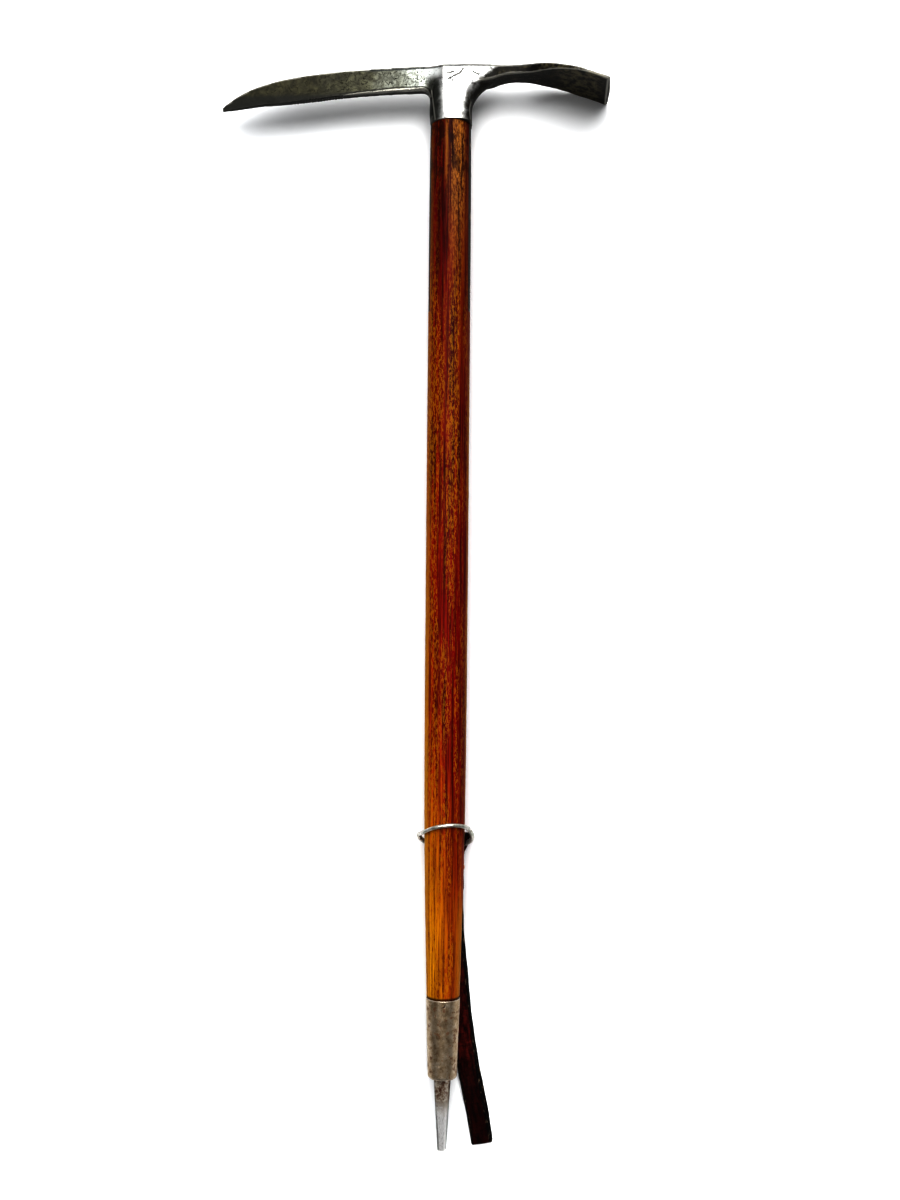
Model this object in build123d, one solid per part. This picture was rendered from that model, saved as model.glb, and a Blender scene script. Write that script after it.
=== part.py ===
from build123d import *
import math
import os

# Wooden-shafted ice axe, lying on its side. All sizes are in millimetres.
# The pieces are drawn about the shaft's axis: y runs along the shaft from the spike's
# point at y = 0 to the head, the pick points to -x, the adze to +x, and z = 0 on the axis.
# At the end everything is moved so that the origin is on the surface that the axe lies
# on, at the middle of its footprint.

# Lengths along the shaft
SPIKE_LENGTH = 57.0
FERRULE_TOP = 120.0
SOCKET_RIM = 802.3
TENON_TOP = 838.0
HEAD_TOP = 845.5
LANGET_END = 654.5

# Shaft sections: place along y, half width (x) and half depth (z)
SHAFT_SECTIONS = [
    (FERRULE_TOP, 12.9, 11.4),
    (180.0, 14.4, 11.7),
    (250.0, 15.7, 11.9),
    (340.0, 16.3, 12.0),
    (440.0, 16.4, 12.0),
    (550.0, 16.4, 12.0),
    (655.0, 16.3, 12.0),
    (SOCKET_RIM + 3, 15.6, 11.7),
]

# Head
ADZE_HALF_WIDTH = 26.2
ADZE_REACH = 123.2
ADZE_FLAT_START = 110.0
ADZE_CORNER = 2.0
ADZE_EDGE_BOW = 0.8
PICK_REACH = 180.8
PICK_TIP_HALF_THICKNESS = 1.0
TOOTH_COUNT = 18
TOOTH_DEPTH = 1.0
FIRST_TOOTH = (-124.9, 820.0)
LAST_TOOTH = (-85.5, 824.1)

# Langets and their rivets
LANGET_HALF_WIDTH = 6.5
LANGET_INNER_FOOT = 15.05
LANGET_INNER_TOP = 14.4
RIVET_RADIUS = 2.4
RIVET_PLACES = {"lower": 672.0, "middle": 728.0, "upper": 784.0}

# Ferrule, its pin and the spike
FERRULE_WALL = 1.4
PIN_RADIUS = 1.5
PIN_PLACE = (1.0, 116.0)
SPIKE_TURN = 12.0
SPIKE_ROOT = 11.9
SPIKE_POINT = 6.2

# Ring round the shaft
RING_RADIUS = 20.8
WIRE_RADIUS = 1.7
RING_TILT = 32.0
RING_CENTRE = (0.6, 245.0, -3.3)

# Leather: the eye folded round the ring's wire, and the doubled wrist strap below it
LEATHER = 2.2
EYE_WIDTH = 13.0
EYE_GAP = 2.9
EYE_PLACE = 9.8
EYE_RISE = 0.6
EYE_SLOPE = 24.4
EYE_FOLD = 4.5
EYE_MEETING = 12.0
EYE_TONGUE = 22.5
EYE_RIVET = 17.5
TONGUE_SIDES = (-6.2, 4.4)
STRAP_GAP = 0.6
STRAP_WIDTH = 16.0
STRAP_THICKNESS = 2 * LEATHER
STRAP_LIFT = 0.1
FLOOR = -ADZE_HALF_WIDTH
# Strap stations below the tongue: x, y, rise above the lowest course, roll and width
STRAP_STATIONS = [
    (6.6, 196.0, 2.2, 11.0, 13.5),
    (5.2, 177.0, 0.0, 0.0, STRAP_WIDTH),
    (8.7, 139.0, 0.0, 0.0, STRAP_WIDTH),
    (13.1, 100.0, 0.0, 0.0, STRAP_WIDTH),
    (18.1, 63.0, 0.0, 0.0, STRAP_WIDTH),
    (24.7, 31.0, 0.0, 0.0, STRAP_WIDTH),
    (30.6, -3.0, 0.0, 0.0, STRAP_WIDTH),
]


def across(x, y, z=0.0):
    """The plane square to the shaft at a point, with its own x along the row's x."""
    return Plane(origin=(x, y, z), x_dir=(1, 0, 0), z_dir=(0, -1, 0))


def oval(y, half_width, half_depth, x=0.0):
    return across(x, y) * Ellipse(half_width, half_depth)


def shaft_blank():
    """The whole oval shaft from the ferrule to just inside the socket, before any cut."""
    return loft([oval(*section) for section in SHAFT_SECTIONS])


def head_tenon():
    """The shaft's upper end, which fills the socket."""
    return loft([oval(SOCKET_RIM, 13.3, 9.9, 0.4), oval(TENON_TOP, 12.4, 9.2, 0.4)])


def foot_tenon():
    """The shaft's lower end, which fills the ferrule."""
    return loft([oval(SPIKE_LENGTH + 3.0, 10.0, 9.2), oval(FERRULE_TOP, 12.1, 11.0)])


def blade():
    """Pick and adze: the side outline and the plan outline, each extruded, in common."""
    tip_top = (-PICK_REACH, 817.2)
    tip_foot = (-PICK_REACH, 814.6)
    edge_top = (ADZE_REACH, 825.8)
    edge_foot = (ADZE_REACH, 825.2)
    bevel_end = (ADZE_REACH - 2.7, 824.2)
    crown_end = (-24.8, HEAD_TOP)
    side = [
        Spline(tip_top, (-166.4, 827.2), (-143.3, 835.6), (-111.6, 841.0), (-68.1, 844.2), crown_end),
        Line(crown_end, (30, 844.6)),
        Spline((30, 844.6), (48, 843.4), (62, 843.4), (82, 839.7), (102, 833.4), edge_top),
        Polyline(edge_top, edge_foot, bevel_end),
        Spline(bevel_end, (102, 830.6), (82, 835.1), (62, 836.3), (46, 836.0), (33, 832.6)),
        Polyline((33, 832.6), (14, 829), (-8, 829), (-8, 820.4), (-16, 820.4)),
        RadiusArc((-16, 820.4), (-23, 827.4), -7.0),
        Spline(
            (-23, 827.4), (-46.3, 826.7), LAST_TOOTH, FIRST_TOOTH, (-153.9, 817.8), (-170, 815.6), tip_foot,
        ),
        Line(tip_foot, tip_top),
    ]
    side_face = make_face(Curve() + side)
    depth = 2 * ADZE_HALF_WIDTH + 20
    side_solid = extrude(side_face, amount=depth / 2, both=True)
    corner_x = ADZE_REACH - ADZE_EDGE_BOW - ADZE_CORNER
    corner_z = ADZE_HALF_WIDTH - ADZE_CORNER
    slant = ADZE_CORNER * math.sqrt(0.5)
    corner_start = (corner_x, ADZE_HALF_WIDTH)
    corner_middle = (corner_x + slant, corner_z + slant)
    corner_end = (corner_x + ADZE_CORNER, corner_z)
    edge = [
        Spline((-PICK_REACH, PICK_TIP_HALF_THICKNESS), (-150, 2.2), (-85, 3.5), (-20, 5.6)),
        Spline((-20, 5.6), (-13.5, 7.2), (-6, 10.4)),
        Line((-6, 10.4), (48, 10.0)),
        Spline(
            (48, 10.0), (62, 11.4), (72, 16.0), (82, 20.3), (93, 24.0), (ADZE_FLAT_START, ADZE_HALF_WIDTH),
            tangents=[(1, 0), (1, 0)],
        ),
        Line((ADZE_FLAT_START, ADZE_HALF_WIDTH), corner_start),
        ThreePointArc(corner_start, corner_middle, corner_end),
        Spline(corner_end, (ADZE_REACH, 0), tangents=[(0.05, -1), (0, -1)]),
        Line((ADZE_REACH, 0), (-PICK_REACH, 0)),
        Line((-PICK_REACH, 0), (-PICK_REACH, PICK_TIP_HALF_THICKNESS)),
    ]
    half_plan = make_face(Curve() + edge)
    plan = Plane(origin=(0, 780, 0), x_dir=(1, 0, 0), z_dir=(0, 1, 0))
    upper_half = extrude(plan * half_plan, amount=90)
    plan_solid = upper_half + mirror(upper_half, Plane.XY)
    solid = side_solid & plan_solid
    return solid - teeth()


def teeth():
    """The notches between the small teeth cut in the pick's lower edge."""
    notches = []
    for i in range(TOOTH_COUNT):
        t = i / (TOOTH_COUNT - 1)
        x = FIRST_TOOTH[0] + t * (LAST_TOOTH[0] - FIRST_TOOTH[0])
        y = FIRST_TOOTH[1] + t * (LAST_TOOTH[1] - FIRST_TOOTH[1])
        notch = Polygon((-0.8, -0.6), (0.8, -0.6), (0.1, TOOTH_DEPTH), align=None)
        notches.append(Pos(x, y, -8) * extrude(notch, amount=16))
    return notches


def socket_core():
    """The socket, flaring like a trumpet into the pick and the adze."""
    return loft([
        oval(SOCKET_RIM, 15.85, 12.3, 0.85),
        oval(817.0, 16.9, 12.3, 0.95),
        oval(824.5, 19.25, 12.1, 3.45),
        oval(834.0, 25.85, 11.6, 9.65),
        oval(HEAD_TOP - 1.5, 31.25, 10.8, 14.75),
    ])


def langets(blank):
    """The two side straps of the head, let in flush with the shaft's edges."""
    length = SOCKET_RIM + 2.5 - LANGET_END
    outline = SlotCenterToCenter(length * 2, 2 * LANGET_HALF_WIDTH, rotation=90)
    strip = Plane.YZ * Pos(LANGET_END + length, 0) * Rot(0, 0, 90) * outline
    tall = extrude(strip, amount=30, both=True)
    tall = tall & Pos(0, LANGET_END + length / 2, 0) * Box(60, length, 30)
    inside = Polygon(
        (-LANGET_INNER_FOOT, LANGET_END - 10),
        (LANGET_INNER_FOOT, LANGET_END - 10),
        (LANGET_INNER_TOP, SOCKET_RIM + 10),
        (-LANGET_INNER_TOP, SOCKET_RIM + 10),
        align=None,
    )
    return (tall & blank) - extrude(inside, amount=20, both=True)


def rivet(y, blank):
    """A soft iron rivet through both langets, filed flush with the shaft's oval."""
    bar = Pos(0, y, 0) * Rot(0, 90, 0) * Cylinder(RIVET_RADIUS, 40)
    return bar & blank


def spike():
    """Square tapered spike with a blunt point, and its tang inside the shaft."""
    blade_sections = []
    for y, width in ((0.0, SPIKE_POINT), (SPIKE_LENGTH, SPIKE_ROOT)):
        square = RectangleRounded(width, width, 0.2 * width)
        blade_sections.append(across(0, y) * Rot(0, 0, SPIKE_TURN) * square)
    point = loft(blade_sections)
    dome = Pos(0, 10.5, 0) * Sphere(10.5)
    rest = Pos(0, 5 + SPIKE_LENGTH / 2, 0) * Box(30, SPIKE_LENGTH + 0.1, 30)
    point = point & (dome + rest)
    collar = loft([across(0, SPIKE_LENGTH - 3) * Circle(6.4), across(0, SPIKE_LENGTH) * Circle(7.2)])
    tang = loft([across(0, SPIKE_LENGTH) * Circle(4.2), across(0, FERRULE_TOP + 5) * Circle(2.8)])
    return point + collar + tang


def ferrule(tenon):
    """Tapered steel cap over the shaft's foot, closed below round the spike's root."""
    shell = loft([oval(SPIKE_LENGTH, 11.5, 10.7), oval(FERRULE_TOP, 13.5, 12.4)])
    foot = shell.faces().sort_by(Axis.Y)[0]
    shell = fillet(foot.edges(), 2.5)
    return shell - tenon


def ferrule_pin():
    x, y = PIN_PLACE
    return Pos(x, y, 0) * Cylinder(PIN_RADIUS, 2 * 12.0)


def ring_plane():
    """The ring's own plane: x along the row's x, y from the ring's back to its front."""
    tilt = math.radians(RING_TILT)
    normal = (0, -math.cos(tilt), math.sin(tilt))
    return Plane(origin=RING_CENTRE, x_dir=(1, 0, 0), z_dir=normal)


def wrist_ring():
    return ring_plane() * Torus(RING_RADIUS, WIRE_RADIUS)


def eye_plane():
    """The plane square to the eye's fold, where the ring's wire goes through it."""
    tilt = math.radians(RING_TILT)
    slope = math.radians(EYE_SLOPE)
    back = math.sqrt(RING_RADIUS**2 - EYE_PLACE**2)
    x = RING_CENTRE[0] + EYE_PLACE
    y = RING_CENTRE[1] - back * math.sin(tilt)
    z = RING_CENTRE[2] - back * math.cos(tilt) + EYE_RISE
    across_fold = (math.cos(slope), 0, math.sin(slope))
    return Plane(origin=(x, y, z), x_dir=(0, -1, 0), z_dir=across_fold)


def ring_eye():
    """Leather folded round the wire, its two layers meeting in a tongue."""
    outer_radius = EYE_GAP + LEATHER
    outer = make_hull(
        (Pos(-EYE_FOLD, 0) * Circle(outer_radius)).edges()
        + (Pos(EYE_FOLD, 0) * Circle(outer_radius)).edges()
        + (Pos(EYE_MEETING, 0) * Circle(LEATHER)).edges()
    )
    inner = make_hull(
        (Pos(-EYE_FOLD, 0) * Circle(EYE_GAP)).edges()
        + (Pos(EYE_FOLD, 0) * Circle(EYE_GAP)).edges()
        + (Pos(EYE_MEETING, 0) * Circle(0.1)).edges()
    )
    tongue = Pos((EYE_MEETING + EYE_TONGUE) / 2, 0) * Rectangle(EYE_TONGUE - EYE_MEETING, 2 * LEATHER)
    fold = extrude(eye_plane() * (outer - inner + tongue), amount=EYE_WIDTH / 2, both=True)
    return fold - tongue_waste()


def tongue_waste():
    """What is trimmed off each side of the eye below the wire, where the tongue is narrower."""
    waste = []
    for side in TONGUE_SIDES:
        wide = math.copysign(EYE_WIDTH / 2 + 1, side)
        trim = Polygon((EYE_FOLD + 2, wide), (EYE_MEETING, side), (40, side), (40, wide), align=None)
        lying = eye_plane() * Plane.XZ * trim
        waste.append(extrude(lying, amount=12, both=True))
    return waste


def eye_rivet():
    """A copper rivet through the tongue, with a low head on each face."""
    shank = Cylinder(1.6, 2 * LEATHER)
    crown = Cone(3.4, 2.2, 0.5, align=(Align.CENTER, Align.CENTER, Align.MIN))
    head = Cylinder(3.4, 0.8) + Pos(0, 0, 0.4) * crown
    top = Pos(0, 0, LEATHER + 0.4) * head
    both = shank + top + mirror(top, Plane.XY)
    return eye_plane() * Pos(EYE_RIVET, 0, 0) * Rot(90, 0, 0) * both


def strap_hinge():
    """Where the leather flexes: the lower edge of the gap between tongue and strap."""
    return eye_plane() * Pos(EYE_TONGUE + STRAP_GAP / 2, LEATHER, 0)


def wrist_strap():
    """The doubled strap, from the eye's tongue down to its folded end."""
    middle = sum(TONGUE_SIDES) / 2
    width = TONGUE_SIDES[1] - TONGUE_SIDES[0]
    start = eye_plane() * Pos(EYE_TONGUE + STRAP_GAP, 0, middle) * Rot(0, 90, 0)
    sections = [start * Rectangle(width, STRAP_THICKNESS)]
    stations = len(STRAP_STATIONS)
    for i, (x, y, rise, roll, width) in enumerate(STRAP_STATIONS):
        before = STRAP_STATIONS[max(i - 1, 0)]
        after = STRAP_STATIONS[min(i + 1, stations - 1)]
        ahead = Vector(after[0] - before[0], after[1] - before[1], 0).normalized()
        side = Vector(-ahead.Y, ahead.X, 0)
        level = FLOOR + STRAP_LIFT + STRAP_THICKNESS / 2 + rise
        tilt = math.radians(roll)
        width_way = side * math.cos(tilt) + Vector(0, 0, 1) * math.sin(tilt)
        station = Plane(origin=(x, y, level), x_dir=width_way, z_dir=ahead)
        sections.append(station * Rectangle(width, STRAP_THICKNESS))
    return loft(sections, ruled=True)


def build():
    blank = shaft_blank()
    tenon_top = head_tenon()
    tenon_foot = foot_tenon()
    rivets = {name: rivet(y, blank) for name, y in RIVET_PLACES.items()}
    all_rivets = list(rivets.values())
    the_spike = spike()
    pin = ferrule_pin()
    head = socket_core() + blade() + langets(blank) - tenon_top - all_rivets
    the_ferrule = ferrule(tenon_foot) - the_spike
    lower_blank = blank & Pos(0, SOCKET_RIM / 2, 0) * Box(60, SOCKET_RIM, 60)
    wood = lower_blank + tenon_top + tenon_foot
    wood = wood - head - the_ferrule - the_spike - pin - all_rivets
    eye_pin = eye_rivet()
    nodes = {
        "head": head,
        "shaft": wood,
        "ferrule": the_ferrule - pin,
        "ferrule_pin": pin,
        "spike": the_spike - pin,
        "wrist_ring": wrist_ring(),
        "ring_eye": ring_eye() - eye_pin,
        "eye_rivet": eye_pin,
        "wrist_strap": wrist_strap(),
    }
    for name, solid in rivets.items():
        nodes[f"langet_rivet_{name}"] = solid
    return nodes


def main():
    nodes = build()
    lows = [solid.bounding_box().min for solid in nodes.values()]
    highs = [solid.bounding_box().max for solid in nodes.values()]
    middle_x = (min(p.X for p in lows) + max(p.X for p in highs)) / 2
    middle_y = (min(p.Y for p in lows) + max(p.Y for p in highs)) / 2
    hinge = strap_hinge().position
    print("origin at", round(middle_x, 3), round(middle_y, 3), FLOOR)
    print("strap hinge at", [round(v, 3) for v in hinge])
    os.makedirs("parts", exist_ok=True)
    for name, solid in nodes.items():
        export_step(Pos(-middle_x, -middle_y, -FLOOR) * solid, f"parts/{name}.step")


main()
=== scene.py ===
import math

import bpy
import numpy as np
from mathutils import Matrix, Vector
from mathutils.bvhtree import BVHTree


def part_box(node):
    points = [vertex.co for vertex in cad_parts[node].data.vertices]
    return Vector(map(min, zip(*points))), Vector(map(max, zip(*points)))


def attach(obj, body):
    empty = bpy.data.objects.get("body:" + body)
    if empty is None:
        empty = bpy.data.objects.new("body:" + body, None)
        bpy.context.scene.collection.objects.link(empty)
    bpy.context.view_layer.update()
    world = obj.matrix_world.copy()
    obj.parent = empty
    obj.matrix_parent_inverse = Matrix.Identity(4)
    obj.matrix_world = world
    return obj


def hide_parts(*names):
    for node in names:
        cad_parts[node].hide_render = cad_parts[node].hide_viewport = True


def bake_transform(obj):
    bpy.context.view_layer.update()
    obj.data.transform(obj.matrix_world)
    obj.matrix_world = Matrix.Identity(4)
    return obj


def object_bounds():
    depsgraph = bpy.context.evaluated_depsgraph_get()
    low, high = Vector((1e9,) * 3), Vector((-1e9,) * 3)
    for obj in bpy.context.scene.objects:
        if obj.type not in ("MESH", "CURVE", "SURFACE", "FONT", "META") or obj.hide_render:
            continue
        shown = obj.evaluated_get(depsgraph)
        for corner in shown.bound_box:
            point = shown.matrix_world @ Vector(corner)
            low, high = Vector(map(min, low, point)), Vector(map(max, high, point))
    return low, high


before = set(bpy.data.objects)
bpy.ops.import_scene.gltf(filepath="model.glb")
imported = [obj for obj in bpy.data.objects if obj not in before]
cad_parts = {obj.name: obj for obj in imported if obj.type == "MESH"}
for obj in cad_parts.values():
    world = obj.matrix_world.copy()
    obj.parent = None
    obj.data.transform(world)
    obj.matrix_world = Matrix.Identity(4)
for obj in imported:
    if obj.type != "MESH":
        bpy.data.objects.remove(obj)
cad_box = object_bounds()

# ---------------------------------------------------------------- places from the frame
MM = 0.001
shaft_box = [np.array(corner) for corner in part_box("shaft")]
spike_box = [np.array(corner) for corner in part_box("spike")]
ring_box = [np.array(corner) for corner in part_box("wrist_ring")]
AXIS_X = (shaft_box[0][0] + shaft_box[1][0]) / 2
AXIS_Z = (shaft_box[0][2] + shaft_box[1][2]) / 2
FOOT_Y = spike_box[0][1]
ORIGIN = np.array([AXIS_X, FOOT_Y, AXIS_Z])


def axe(x, y, z):
    """A point given in millimetres about the shaft's axis, from the spike's point, in the row frame."""
    return ORIGIN + np.array([x, y, z]) * MM


def to_axe(points):
    """Row frame points as millimetres about the shaft's axis."""
    return (points - ORIGIN) / MM


# ---------------------------------------------------------------- noise on points
def hash_grid(cells, seed):
    """A repeatable number from 0 to 1 for each whole-numbered cell."""
    mixed = cells[..., 0] * 374761393 + cells[..., 1] * 668265263 + cells[..., 2] * 2147483647
    mixed = (mixed + seed * 1274126177) & 0xFFFFFFFF
    mixed = ((mixed ^ (mixed >> 13)) * 1274126177) & 0xFFFFFFFF
    return ((mixed ^ (mixed >> 16)) & 0xFFFF) / 65535.0


def value_noise(points, size, seed=0):
    """Smooth noise from -1 to 1 at points, whose bumps are about size across."""
    scaled = points / size
    cell = np.floor(scaled).astype(np.int64)
    part = scaled - cell
    part = part * part * (3 - 2 * part)
    total = np.zeros(len(points))
    for dx in (0, 1):
        for dy in (0, 1):
            for dz in (0, 1):
                weight = np.prod(np.abs(1 - np.array([dx, dy, dz]) - part), axis=1)
                total += weight * hash_grid(cell + np.array([dx, dy, dz]), seed)
    return total * 2 - 1


def smooth_step(low, high, value):
    """0 at low, 1 at high, smooth between and held beyond; low may be above high."""
    t = np.clip((value - low) / (high - low), 0, 1)
    return t * t * (3 - 2 * t)


# ---------------------------------------------------------------- mesh helpers
def make_object(name, vertices, faces, material, smooth=True):
    """A mesh object in the scene, with one material."""
    mesh = bpy.data.meshes.new(name)
    mesh.from_pydata([tuple(v) for v in vertices], [], [tuple(f) for f in faces])
    mesh.update()
    if smooth:
        mesh.shade_smooth()
    piece = bpy.data.objects.new(name, mesh)
    bpy.context.scene.collection.objects.link(piece)
    mesh.materials.append(material)
    return piece


def skin_rings(rings, closed=False):
    """Faces over a grid of rings; closed joins the last ring to the first, else both ends are capped."""
    count, around = rings.shape[0], rings.shape[1]
    faces = []
    spans = count if closed else count - 1
    for i in range(spans):
        here = i * around
        there = ((i + 1) % count) * around
        for j in range(around):
            k = (j + 1) % around
            faces.append((here + j, here + k, there + k, there + j))
    if not closed:
        faces.append(tuple(range(around - 1, -1, -1)))
        faces.append(tuple((count - 1) * around + j for j in range(around)))
    return faces


def skin(name, rings, material, closed=False):
    """A piece whose surface runs over a row of rings of points."""
    return make_object(name, rings.reshape(-1, 3), skin_rings(rings, closed), material)


def add_uv(piece, values):
    """A UV layer from one (u, v) pair for each vertex."""
    layer = piece.data.uv_layers.new(name="Along")
    index = np.empty(len(piece.data.loops), dtype=np.int32)
    piece.data.loops.foreach_get("vertex_index", index)
    layer.data.foreach_set("uv", np.asarray(values, float)[index].ravel())


def apply_modifiers(piece):
    """Replaces the mesh with what its modifiers make of it."""
    depsgraph = bpy.context.evaluated_depsgraph_get()
    mesh = bpy.data.meshes.new_from_object(piece.evaluated_get(depsgraph))
    piece.modifiers.clear()
    piece.data = mesh


def remeshed(node, name, voxel, material):
    """A fine, even copy of a CAD node's mesh as a new piece."""
    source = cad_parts[node]
    bpy.context.view_layer.update()
    depsgraph = bpy.context.evaluated_depsgraph_get()
    mesh = bpy.data.meshes.new_from_object(source.evaluated_get(depsgraph))
    mesh.transform(source.matrix_world)
    mesh.materials.clear()
    mesh.materials.append(material)
    piece = bpy.data.objects.new(name, mesh)
    bpy.context.scene.collection.objects.link(piece)
    modifier = piece.modifiers.new("remesh", "REMESH")
    modifier.mode = "VOXEL"
    modifier.voxel_size = voxel
    modifier.use_smooth_shade = True
    apply_modifiers(piece)
    return piece


def vertices_of(piece):
    """The mesh's points, one row each."""
    flat = np.empty(len(piece.data.vertices) * 3)
    piece.data.vertices.foreach_get("co", flat)
    return flat.reshape(-1, 3)


def normals_of(piece):
    """The mesh's vertex normals, one row each."""
    flat = np.empty(len(piece.data.vertices) * 3)
    piece.data.vertex_normals.foreach_get("vector", flat)
    return flat.reshape(-1, 3)


def set_vertices(piece, points):
    """Moves the mesh's points."""
    piece.data.vertices.foreach_set("co", points.ravel())
    piece.data.update()


def links_of(piece):
    """The mesh's edges as pairs of vertex numbers."""
    edges = np.empty(len(piece.data.edges) * 2, dtype=np.int64)
    piece.data.edges.foreach_get("vertices", edges)
    return edges.reshape(-1, 2)


def neighbour_mean(points, links):
    """The mean place of each vertex's neighbours."""
    count = len(points)
    total = np.zeros_like(points)
    for axis in range(3):
        total[:, axis] += np.bincount(links[:, 0], points[links[:, 1], axis], count)
        total[:, axis] += np.bincount(links[:, 1], points[links[:, 0], axis], count)
    return total / np.bincount(links.ravel(), minlength=count)[:, None]


def soften(piece, weights, rounds):
    """Rounds a mesh where the weights are, by pulling each vertex towards its neighbours."""
    links = links_of(piece)
    points = vertices_of(piece)
    for _ in range(rounds):
        points += (neighbour_mean(points, links) - points) * (0.5 * weights)[:, None]
    set_vertices(piece, points)


def roughen(piece, sink, layers, weights=1.0):
    """Moves the skin by layers of noise, each a height, size and seed, less sink, in millimetres."""
    points = vertices_of(piece)
    local = to_axe(points)
    waves = sum(height * value_noise(local, size, seed) for height, size, seed in layers)
    waves = (waves - sink) * weights
    set_vertices(piece, points + normals_of(piece) * (waves * MM)[:, None])


EDGE_ROUNDS = 4
FULL_BULGE = 0.12 * MM


def mark_edges(piece):
    """Stores how far the surface bulges (up to 1) or sinks (down to -1) at each vertex, as edge."""
    links = links_of(piece)
    points = vertices_of(piece)
    smooth = points.copy()
    for _ in range(EDGE_ROUNDS):
        smooth = neighbour_mean(smooth, links)
    bulge = np.einsum("ij,ij->i", points - smooth, normals_of(piece)) / FULL_BULGE
    attribute = piece.data.attributes.new("edge", "FLOAT", "POINT")
    attribute.data.foreach_set("value", np.clip(bulge, -1, 1))


# ---------------------------------------------------------------- material helpers
class Maker:
    """Adds shader nodes to one material and joins them up."""

    def __init__(self, name, **sockets):
        self.material = bpy.data.materials.new(name)
        self.material.use_nodes = True
        self.tree = self.material.node_tree
        self.shader = self.tree.nodes["Principled BSDF"]
        for socket, value in sockets.items():
            self.shader.inputs[socket.replace("_", " ")].default_value = value

    def node(self, kind, **settings):
        made = self.tree.nodes.new(kind)
        for key, value in settings.items():
            setattr(made, key, value)
        return made

    def feed(self, socket, value):
        """Joins an output to a socket, or sets the socket to a plain value."""
        if hasattr(value, "is_output"):
            self.tree.links.new(value, socket)
        else:
            socket.default_value = value

    def place(self, scale=(1, 1, 1)):
        """The surface's place in millimetres about the shaft's axis, scaled."""
        coords = self.node("ShaderNodeTexCoord").outputs["Object"]
        shift = self.node("ShaderNodeVectorMath", operation="SUBTRACT")
        self.feed(shift.inputs[0], coords)
        shift.inputs[1].default_value = ORIGIN
        grow = self.node("ShaderNodeVectorMath", operation="MULTIPLY")
        self.feed(grow.inputs[0], shift.outputs[0])
        grow.inputs[1].default_value = [s / MM for s in scale]
        return grow.outputs[0]

    def along(self, scale=(1, 1, 1)):
        """The piece's own UV place, in millimetres, scaled."""
        coords = self.node("ShaderNodeTexCoord").outputs["UV"]
        grow = self.node("ShaderNodeVectorMath", operation="MULTIPLY")
        self.feed(grow.inputs[0], coords)
        grow.inputs[1].default_value = scale
        return grow.outputs[0]

    def split(self, vector):
        made = self.node("ShaderNodeSeparateXYZ")
        self.feed(made.inputs[0], vector)
        return made.outputs

    def noise(self, vector, scale=1.0, detail=4.0, roughness=0.55, distortion=0.0):
        made = self.node("ShaderNodeTexNoise")
        self.feed(made.inputs["Vector"], vector)
        made.inputs["Scale"].default_value = scale
        made.inputs["Detail"].default_value = detail
        made.inputs["Roughness"].default_value = roughness
        made.inputs["Distortion"].default_value = distortion
        return made.outputs["Fac"]

    def cells(self, vector, scale):
        made = self.node("ShaderNodeTexVoronoi")
        self.feed(made.inputs["Vector"], vector)
        made.inputs["Scale"].default_value = scale
        return made.outputs["Distance"]

    def stored(self, name):
        """A value stored on the mesh's vertices."""
        return self.node("ShaderNodeAttribute", attribute_name=name).outputs["Fac"]

    def math(self, operation, a, b=0.0):
        made = self.node("ShaderNodeMath", operation=operation)
        self.feed(made.inputs[0], a)
        self.feed(made.inputs[1], b)
        return made.outputs[0]

    def plus(self, a, b):
        return self.math("ADD", a, b)

    def minus(self, a, b):
        return self.math("SUBTRACT", a, b)

    def times(self, a, b):
        return self.math("MULTIPLY", a, b)

    def absolute(self, a):
        return self.math("ABSOLUTE", a)

    def most(self, first, *others):
        """The largest of several values."""
        for other in others:
            first = self.math("MAXIMUM", first, other)
        return first

    def spread(self, noise, width):
        """Noise from 0 to 1 as an offset about zero, of that whole width."""
        return self.times(self.minus(noise, 0.5), width)

    def span(self, value, low, high, to_low=0.0, to_high=1.0):
        """Value from low to high becomes to_low to to_high, smoothly and held at the ends."""
        made = self.node("ShaderNodeMapRange", interpolation_type="SMOOTHSTEP")
        self.feed(made.inputs["Value"], value)
        made.inputs["From Min"].default_value = low
        made.inputs["From Max"].default_value = high
        made.inputs["To Min"].default_value = to_low
        made.inputs["To Max"].default_value = to_high
        return made.outputs[0]

    def stripe(self, value, centre, outer, inner, peak=1.0):
        """Peak within inner of the centre, and nothing beyond outer of it."""
        return self.span(self.absolute(self.minus(value, centre)), outer, inner, 0.0, peak)

    def ramp(self, value, *stops):
        """A colour from a row of places and tones."""
        made = self.node("ShaderNodeValToRGB")
        self.feed(made.inputs[0], value)
        elements = made.color_ramp.elements
        while len(elements) < len(stops):
            elements.new(0.5)
        for element, (place, colour) in zip(elements, stops):
            element.position = place
            element.color = (*colour, 1)
        return made.outputs[0]

    def mix(self, share, a, b, blend="MIX"):
        """Colour a turning into b as the share goes from 0 to 1."""
        made = self.node("ShaderNodeMix", data_type="RGBA", blend_type=blend)
        self.feed(made.inputs[0], share)
        self.feed(made.inputs[6], (*a, 1) if isinstance(a, tuple) else a)
        self.feed(made.inputs[7], (*b, 1) if isinstance(b, tuple) else b)
        return made.outputs[2]

    def paint(self, colour, share, tone, strength=1.0):
        """Lays a tone over a colour where the share is."""
        if strength != 1.0:
            share = self.times(share, strength)
        return self.mix(share, colour, tone)

    def bump(self, height, depth, normal=None):
        """Adds relief of that depth in millimetres."""
        made = self.node("ShaderNodeBump")
        self.feed(made.inputs["Height"], height)
        made.inputs["Distance"].default_value = depth * MM
        if normal is not None:
            self.feed(made.inputs["Normal"], normal)
        return made.outputs[0]

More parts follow.
